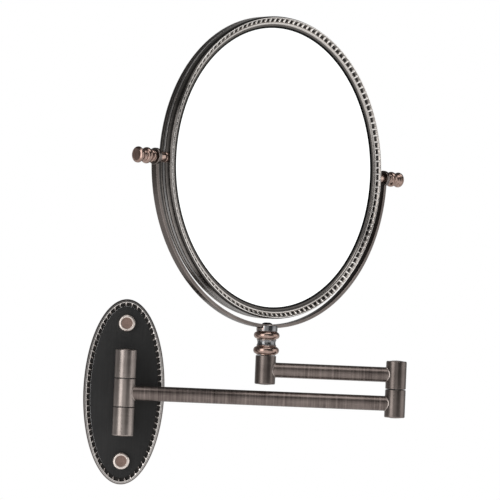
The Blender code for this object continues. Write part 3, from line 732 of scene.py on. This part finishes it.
def stem():
    """The turned stem, copper on its beads and slotted at its head for the yoke."""
    low, high = span("stem")
    foot = span("stem_socket")[1].z + 2 * GAP
    low_bead = foot + 3.0
    high_bead = low_bead + 10.1
    copper = ((high_bead, 2.7), (low_bead, 3.2))  # heights, and how far the copper goes to each side
    place = frame_at((STEM_AXIS.x, STEM_AXIS.y, 0), UP, TILT_AXIS)
    outline = stem_outline(high.z, foot, low_bead, high_bead, low.z)
    body = turned("stem_fine", outline, MATERIALS["turned"], place, TURNED_SIDES,
                  finish_and_painted_light=lambda r, h: 0.0 if any(abs(h - z) < half for z, half in copper) else 1.0)
    slot_floor = PIVOT.z - YOKE_R - YOKE_T - GAP
    half_x, half_y, slot_height = 10.0, YOKE_W / 2 + 0.25, 8
    low_corner, high_corner = (-half_x, -half_y, slot_floor), (half_x, half_y, slot_floor + slot_height)
    cutter = box_object("stem_slot", low_corner, high_corner, MATERIALS["turned"], place)
    cut_away(body, cutter)
    stands_for(body, "yoke_frame", "copper_bronze", "stem")


def cut_away(obj, cutter):
    """Cuts one object from another and keeps the result as plain mesh."""
    change = obj.modifiers.new("cut", "BOOLEAN")
    change.operation = "DIFFERENCE"
    change.object = cutter
    change.solver = "EXACT"
    bpy.context.view_layer.update()
    graph = bpy.context.evaluated_depsgraph_get()
    result = bpy.data.meshes.new_from_object(obj.evaluated_get(graph))
    obj.modifiers.remove(change)
    old = obj.data
    obj.data = result
    result.name = old.name
    result.shade_smooth()
    result.set_sharp_from_angle(angle=math.radians(SHARP))
    bpy.data.objects.remove(cutter)


def yoke():
    """The flat bar bent to a half oval, its edges rounded, with a round tab at each end."""
    half = YOKE_W / 2
    section = soften([(YOKE_R, half, 0.5), (YOKE_R + YOKE_T, half, 0.5), (YOKE_R + YOKE_T, -half, 0.5),
                      (YOKE_R, -half, 0.5)], 3)
    steps = 180
    verts = []
    rows = []
    for i in range(steps + 1):
        angle = -math.pi * i / steps
        rows.append(range(len(verts), len(verts) + len(section)))
        for radius, depth in section:
            half_width = radius + YOKE_SIDE - YOKE_R
            verts.append((half_width * math.cos(angle), radius * math.sin(angle), depth))
    faces = [list(rows[0]), list(rows[-1])[::-1]] + skin(rows, flip=True)
    place = frame_at(PIVOT, MIRROR_NORMAL, TILT_AXIS)
    bar = mesh_object("yoke_fine", verts, faces, MATERIALS["yoke"], place)
    tabs = []
    for sign in (-1, 1):
        outer, inner = YOKE_T + 0.1, -0.1
        outline = soften([(0, outer), (YOKE_TAB_R, outer, 0.5), (YOKE_TAB_R, inner, 0.5), (0, inner)], 4)
        spot = frame_at(PIVOT + sign * YOKE_SIDE * TILT_AXIS, sign * TILT_AXIS, UP)
        tabs.append(turned("yoke_tab_%d" % sign, outline, MATERIALS["yoke"], spot, 48))
    whole = joined(bar, *tabs)
    stands_for(whole, "yoke_frame", "dark_bronze", "yoke")


def yoke_screw():
    low = span("yoke_screw")[0]
    seat = PIVOT.z - YOKE_R + 0.1
    head, shank = 3.5, 1.5
    outline = soften([(0, seat + 1.2), (1.9, seat + 1.2, 0.2), (head, seat + 0.45, 0.5), (head, seat, 0.1),
                      (shank, seat), (shank, low.z)], 4)
    place = frame_at((STEM_AXIS.x, STEM_AXIS.y, 0), UP, TILT_AXIS)
    made = turned("yoke_screw_fine", outline, MATERIALS["screw"], place, 48)
    stands_for(made, "yoke_frame", "screw_black", "yoke_screw")


def pivot_bush(side, place):
    """The bush between the drum and the yoke, with a fine groove round it."""
    near, far, radius, bore = DRUM_R + GAP, YOKE_SIDE - 0.4, 3.5, 2.2
    outline = soften([(radius, far, 0.3), (radius, near + 2.0, 0.3), (radius - 0.4, near + 1.6, 0.2),
                      (radius, near + 1.2, 0.2), (radius, near, 0.2), (bore, near), (bore, far)], 3)
    bush = turned("pivot_bush_fine_" + side, outline, MATERIALS["turned"], place, 48, closed=True)
    stands_for(bush, "yoke_frame", "copper_bronze", "pivot_bush_" + side)


def knob(side, body, place):
    """A turned knob: a flat button at its end, a waist, a large bead, a small bead and a foot."""
    s = KNOB_START
    e = s + KNOB_L
    outline = [(0, e)]
    outline += soften([(3.6, e, 0.2), (4.2, e - 0.25, 0.2), (5.1, e - 0.7, 0.4), (5.35, e - 1.7, 0.5),
                       (4.9, e - 2.5, 0.4), (4.4, e - 2.8, 0.3), (4.2, e - 3.4, 0.4), (3.0, e - 4.6, 0.7),
                       (2.75, e - 5.7, 0.6), (3.5, s + 8.8, 0.3), (3.9, s + 8.5, 0.2)], 4)
    outline += dome((3.3, s + 6.3), 2.0, 2.0, 75)
    outline += soften([(3.5, s + 4.0, 0.2), (3.2, s + 3.8, 0.2)], 3)
    outline += dome((2.9, s + 2.3), 1.35, 1.4, 75)
    outline += soften([(3.1, s + 0.8, 0.2), (3.6, s + 0.5, 0.2), (3.6, s, 0.2), (2.3, s)], 3)
    made = turned("knob_fine_" + side, outline, MATERIALS["turned"], place, 72)
    stands_for(made, body, "copper_bronze", "knob_" + side)


def pivots():
    for side, sign, body in (("left", -1, "turn_knob_left"), ("right", 1, "turn_knob_right")):
        place = frame_at(PIVOT, sign * TILT_AXIS, UP)
        pivot_bush(side, place)
        knob(side, body, place)


# ---------------------------------------------------------------- mirror head

def ring_section(seat, skirt):
    """A beaded ring's section, from its outer wall to its seat: (radius, height, scoop, patina) rows. The patina
    column also holds painted shade on the outer wall and in the groove.
    """
    top = max(4.1, seat + 1.0)  # of the smooth moulding inside the beads
    wall = soften([(HEAD_R, skirt, 0.15), (HEAD_R, 4.7, 0.9), (HEAD_R - 0.75, 6.1, 0.35),
                   (HEAD_R - 1.15, 6.3, 0.2), (HEAD_R - 1.4, 6.0)], 5)[1:]
    # The crest is rubbed bright. The darker band on the outer wall below it is painted shade, standing in for a
    # dark reflection.
    rows = [(r, h, 0.0, 0.14 if h > 6.05 else 0.76 if h > 3.4 else 0.52) for r, h in wall]
    crest, crest_height, slope, steps = HEAD_R - 1.45, 5.95, 2.2, 11
    for k in range(steps + 1):
        t = k / steps
        share = math.sin(math.pi * t) ** 0.5
        rows.append((crest - slope * t, crest_height - (crest_height + 0.1 - top) * t, share, 0.5))
    moulding = soften([(HEAD_R - 3.72, top - 0.4, 0.1), (HEAD_R - 3.85, top - 0.2, 0.15),
                       (HEAD_R - 4.4, top + 0.05, 0.5), (HEAD_R - 5.1, top - 0.4, 0.5),
                       (HEAD_R - 5.4, seat + 0.7, 0.15)], 4)
    rows += [(r, h, 0.0, 0.85 if k < 2 else 0.30) for k, (r, h) in enumerate(moulding)]
    groove = soften([(HEAD_R - 5.45, seat + 0.3, 0.1), (HEAD_R - 6.2, seat + 0.15, 0.2),
                     (HEAD_R - 7.6, seat + 0.3, 0.15), (HEAD_R - 7.8, seat, 0.1)], 3)
    # The groove by the glass is coloured black and dark grey: the painted shadow of the gap between the ring and
    # the glass.
    rows += [(r, h, 0.0, 0.92 if r < HEAD_R - 6.7 else 0.76) for r, h in groove]
    rows += [(DRUM_R + 0.2, seat, 0.0, 0.8), (DRUM_R + 0.2, skirt, 0.0, 0.8)]
    return rows


def beaded_ring(name, node, seat, skirt, normal):
    """A ring whose crest is scooped into a row of oval hollows with narrow webs between them."""
    section = ring_section(seat, skirt)
    count = RING_BEADS * BEAD_STEPS
    hollows = [scoop(i / count, RING_BEADS, RING_WEB) for i in range(count)]

    def warp(row, turn, radius, height):
        return radius, height - BEAD_DEPTH * section[row][2] * hollows[round(turn * count) % count]

    verts, faces = revolve([row[:2] for row in section], count, closed=True, warp=warp)
    patina_and_painted_light = []
    for _, _, share, finish_and_painted_light in section:
        if share > 0.0:
            patina_and_painted_light += [0.10 + 0.70 * min(1.0, 1.25 * share * hollow) for hollow in hollows]
        else:
            patina_and_painted_light += [finish_and_painted_light] * count
    place = frame_at(PIVOT, normal, UP)
    ring = mesh_object(name, verts, faces, MATERIALS["ring"], place, BEADED_SHARP, patina_and_painted_light)
    stands_for(ring, "mirror_head", "dark_bronze", node)


def drum(front):
    """The band between the two rings, with a low hoop round its middle."""
    top, foot, hoop = FRONT_SEAT - GAP, GAP - REAR_SEAT, HEAD_R - 0.1
    outline = soften([(DRUM_IN_R, top), (DRUM_R, top), (DRUM_R, 0.1, 0.1), (hoop, -0.2, 0.2),
                      (hoop, -1.9, 0.2), (DRUM_R, -2.15, 0.1), (DRUM_R, foot), (DRUM_IN_R, foot)], 3)
    band = turned("drum_fine", outline, MATERIALS["drum"], front, HEAD_SIDES, closed=True)
    stands_for(band, "mirror_head", "dark_bronze", "mirror_drum")


def front_pane(front):
    """The flat glass, with a fine bevel."""
    top, under = FRONT_SEAT - GAP, FRONT_SEAT - GAP - GLASS_T
    outline = soften([(0, top), (GLASS_R - 0.2, top, 0.2), (GLASS_R, top - 0.3), (GLASS_R, under),
                      (0, under)], 3)
    pane = turned("front_pane", outline, MATERIALS["mirror"], front, HEAD_SIDES)
    stands_for(pane, "mirror_head", "silvered_glass", "front_glass")


def magnifying_pane(back, steps=24):
    """The hollowed glass of the other side."""
    rim = REAR_SEAT - GAP
    bowl = [(GLASS_R * k / steps, rim - REAR_SAG * (1 - (k / steps) ** 2)) for k in range(steps + 1)]
    bowl += [(r, h - GLASS_T) for r, h in reversed(bowl)]
    pane = turned("magnifying_pane", bowl, MATERIALS["mirror"], back, 240)
    stands_for(pane, "mirror_head", "silvered_glass", "magnifying_glass")


def mirror_head():
    front = frame_at(PIVOT, MIRROR_NORMAL, UP)
    back = frame_at(PIVOT, -MIRROR_NORMAL, UP)
    beaded_ring("front_ring_beaded", "front_ring", FRONT_SEAT, FRONT_SKIRT, MIRROR_NORMAL)
    beaded_ring("rear_ring_beaded", "rear_ring", REAR_SEAT, REAR_SKIRT, -MIRROR_NORMAL)
    drum(front)
    front_pane(front)
    magnifying_pane(back)


# ---------------------------------------------------------------- carried-over CAD pieces

def dress_cad():
    """Gives each CAD piece that stays in sight its finish."""
    looks = {"steel": MATERIALS["steel"], "nylon": MATERIALS["nylon"], "foam": MATERIALS["foam"]}
    slots = {entry["node"]: entry["material_slot"] for entry in frame["record"]["subparts"]}
    for name, obj in frame["nodes"].items():
        look = looks.get(slots[name])
        if look is None:
            continue
        obj.data.materials.clear()
        obj.data.materials.append(look)


# ---------------------------------------------------------------- studio and camera

def softbox(name, width, height, brightness, position):
    """A soft rectangular light of a given brightness that faces the object."""
    data = bpy.data.lights.new(name, "AREA")
    data.shape = "RECTANGLE"
    data.size = width
    data.size_y = height
    data.energy = math.pi * width * height * brightness
    obj = bpy.data.objects.new(name, data)
    bpy.context.scene.collection.objects.link(obj)
    obj.location = position
    obj.rotation_euler = (Vector(LIGHT_TARGET) - Vector(position)).to_track_quat("-Z", "Y").to_euler()
    obj.visible_camera = False


def room():
    """A world that is plain white to the camera and a dimmer, sloping grey to what reflects it."""
    world = bpy.data.worlds.new("studio_white")
    bpy.context.scene.world = world
    world.use_nodes = True
    tree = world.node_tree
    sky = tree.nodes["Background"]
    sky.inputs["Color"].default_value = (1.0, 1.0, 1.0, 1.0)
    place = tree.nodes.new("ShaderNodeTexCoord")
    slope = tree.nodes.new("ShaderNodeVectorMath")
    slope.operation = "DOT_PRODUCT"
    slope.inputs[1].default_value = ROOM_SLOPE
    tree.links.new(place.outputs["Generated"], slope.inputs[0])
    dim = tree.nodes.new("ShaderNodeMapRange")
    for socket, value in zip(RANGE_SOCKETS, (*ROOM_SPAN, ROOM_DARK, ROOM_LIGHT)):
        dim.inputs[socket].default_value = value
    tree.links.new(slope.outputs["Value"], dim.inputs["Value"])
    seen = tree.nodes.new("ShaderNodeLightPath")
    level = tree.nodes.new("ShaderNodeMapRange")
    level.inputs["To Max"].default_value = 1.0
    tree.links.new(dim.outputs["Result"], level.inputs["To Min"])
    tree.links.new(seen.outputs["Is Camera Ray"], level.inputs["Value"])
    tree.links.new(level.outputs["Result"], sky.inputs["Strength"])


def pale_floor():
    """A floor well below the object, glowing a little so that it looks pale from every side."""
    mesh = bpy.data.meshes.new("floor")
    corners = [(x * FLOOR_HALF, y * FLOOR_HALF, FLOOR_Z) for x, y in ((-1, -1), (1, -1), (1, 1), (-1, 1))]
    mesh.from_pydata(corners, [], [(0, 1, 2, 3)])
    shade = Shade("floor_pale")
    tint = shade.ramp(shade.noise(3.0, 2.0), [(0.3, (0.86, 0.86, 0.86)), (0.7, (0.9, 0.9, 0.9))])
    shade.put("Base Color", tint)
    shade.put("Roughness", 0.8)
    shade.put("Emission Color", (1.0, 1.0, 1.0))
    shade.put("Emission Strength", FLOOR_GLOW)
    mesh.materials.append(shade.material)
    floor = bpy.data.objects.new("floor", mesh)
    bpy.context.scene.collection.objects.link(floor)


def camera():
    """A long lens in front of the wall plate, rolled a little in place of the photographed arms' sag."""
    data = bpy.data.cameras.new("camera")
    data.sensor_width = 36.0
    data.lens = CAMERA_FOCAL
    data.clip_end = 50.0
    obj = bpy.data.objects.new("camera", data)
    bpy.context.scene.collection.objects.link(obj)
    yaw, pitch, roll = (math.radians(a) for a in (CAMERA_YAW, CAMERA_PITCH, CAMERA_ROLL))
    ahead = Vector((math.sin(yaw) * math.cos(pitch), math.cos(yaw) * math.cos(pitch), math.sin(pitch)))
    right = Vector((math.cos(yaw), -math.sin(yaw), 0))
    above = right.cross(ahead)
    x = math.cos(roll) * right + math.sin(roll) * above
    y = -math.sin(roll) * right + math.cos(roll) * above
    obj.matrix_world = Matrix((x, y, -ahead)).transposed().to_4x4()
    obj.location = Vector(CAMERA_PLACE) * MM
    bpy.context.scene.camera = obj


def lights():
    """Softboxes at the left, the front, the right and above. The mirror's glass reflects the right one."""
    softbox("softbox_left", 1.0, 1.9, 2.6, (-1.15, -1.35, 0.35))
    softbox("softbox_front", 1.6, 1.6, 0.55, (-0.1, -2.6, 0.1))
    softbox("softbox_right", 1.9, 2.2, 1.06, (2.3, -0.32, 0.15))
    softbox("softbox_top", 1.6, 0.9, 1.9, (0.1, -0.7, 1.7))


wall_plate()
cap_nuts()
wall_hinge()
arms()
stem()
yoke()
yoke_screw()
pivots()
mirror_head()
dress_cad()
room()
pale_floor()
lights()
camera()

bpy.context.scene.view_settings.view_transform = "Standard"

bpy.context.view_layer.update()
